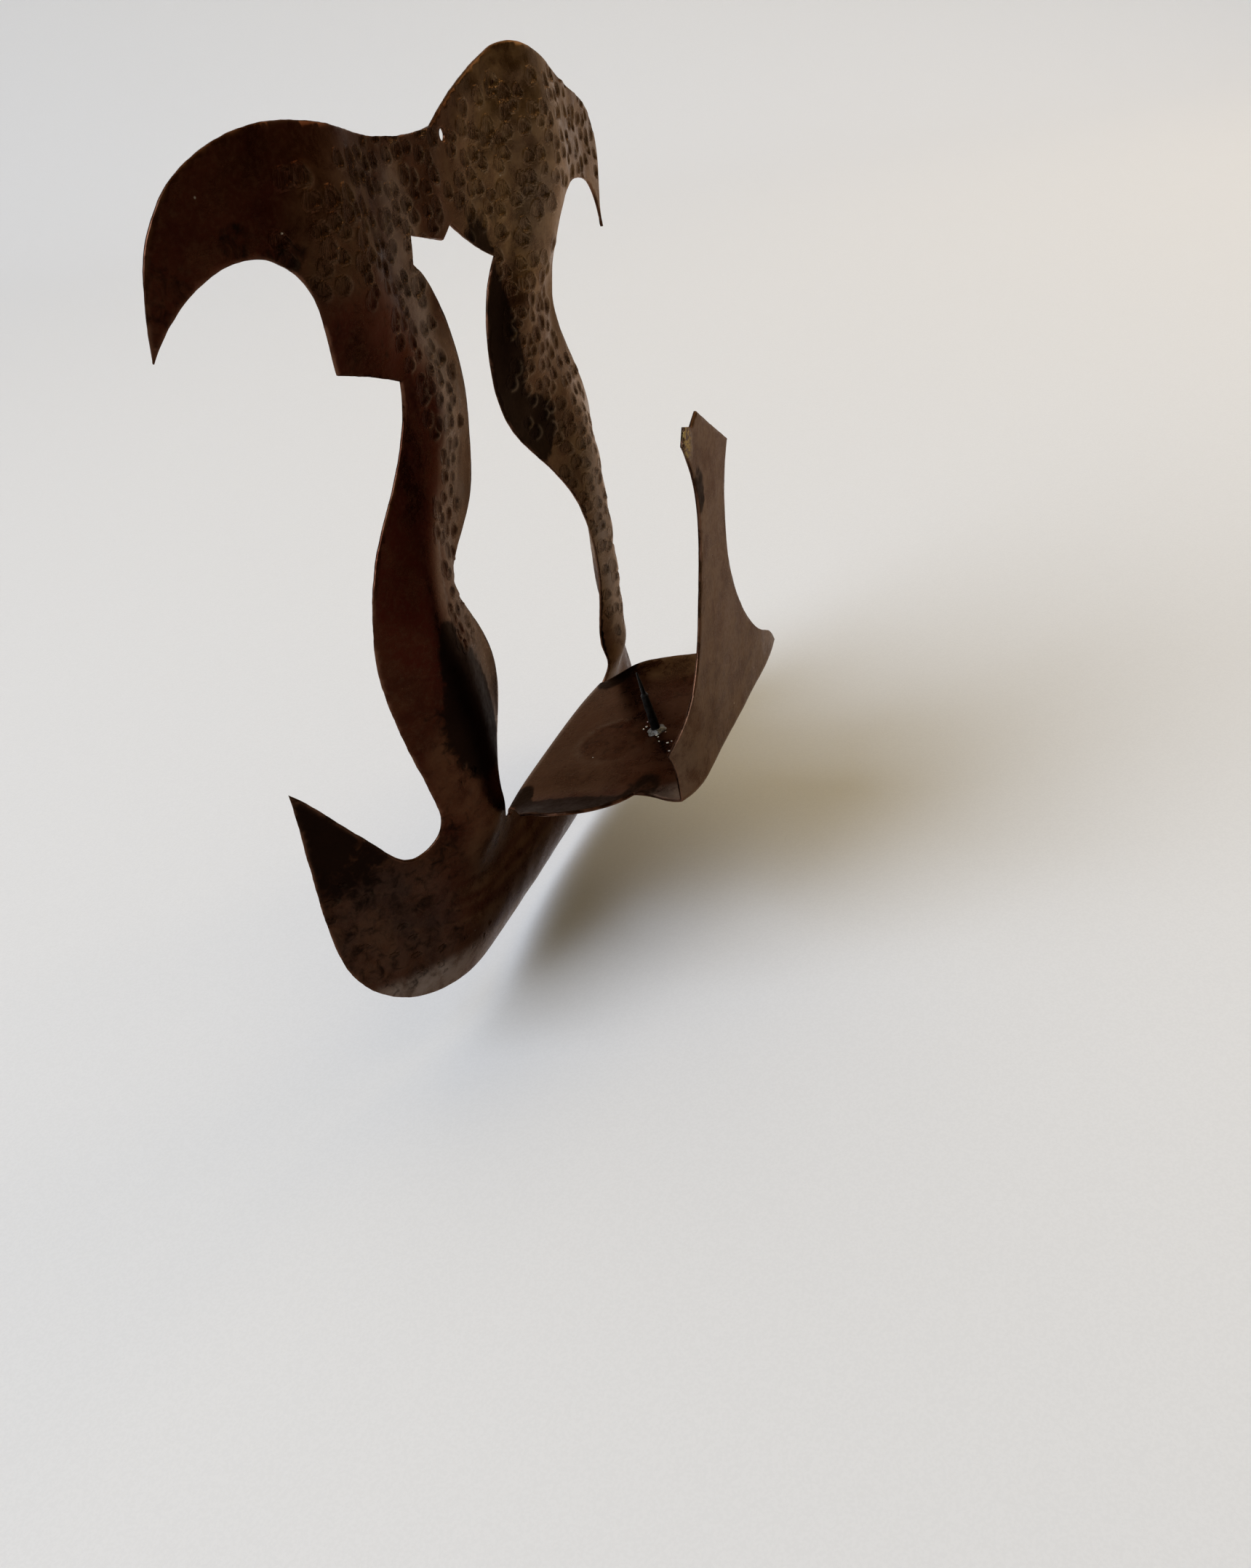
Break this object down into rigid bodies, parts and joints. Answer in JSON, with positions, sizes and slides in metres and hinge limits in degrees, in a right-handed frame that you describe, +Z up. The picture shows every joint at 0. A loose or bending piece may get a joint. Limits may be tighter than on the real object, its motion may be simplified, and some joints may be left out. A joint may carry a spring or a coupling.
{
  "type": "wall candle holder",
  "caption": "Hand-cut hammered sheet wall candle holder with horned back plate, folded tray, upright front strip and candle spike.",
  "frame": {"origin": "centre of the nail hole in the neck of the back plate, at the middle of the sheet", "axes": "+Z up as it hangs, -Y out from the wall towards the front strip, +X to the right seen from the front"},
  "size_m": [0.2292, 0.0924, 0.2521],
  "materials": {
    "hammered_sheet": "hammered copper with a dark brown patina, satin",
    "smooth_sheet": "planished copper with a brown patina, satin",
    "spike_metal": "blackened steel nail",
    "solder": "dull grey solder"
  },
  "bodies": {
    "root": {"left_head": "hammered_sheet", "right_head": "hammered_sheet", "neck_bridge": "hammered_sheet", "left_leg": "hammered_sheet", "right_leg": "hammered_sheet", "left_fin": "hammered_sheet", "right_fin": "hammered_sheet", "base_web": "hammered_sheet", "candle_tray": "smooth_sheet", "front_fold": "smooth_sheet", "front_strip": "smooth_sheet", "candle_spike": "spike_metal", "spike_solder": "solder"}
  },
  "joints": []
}
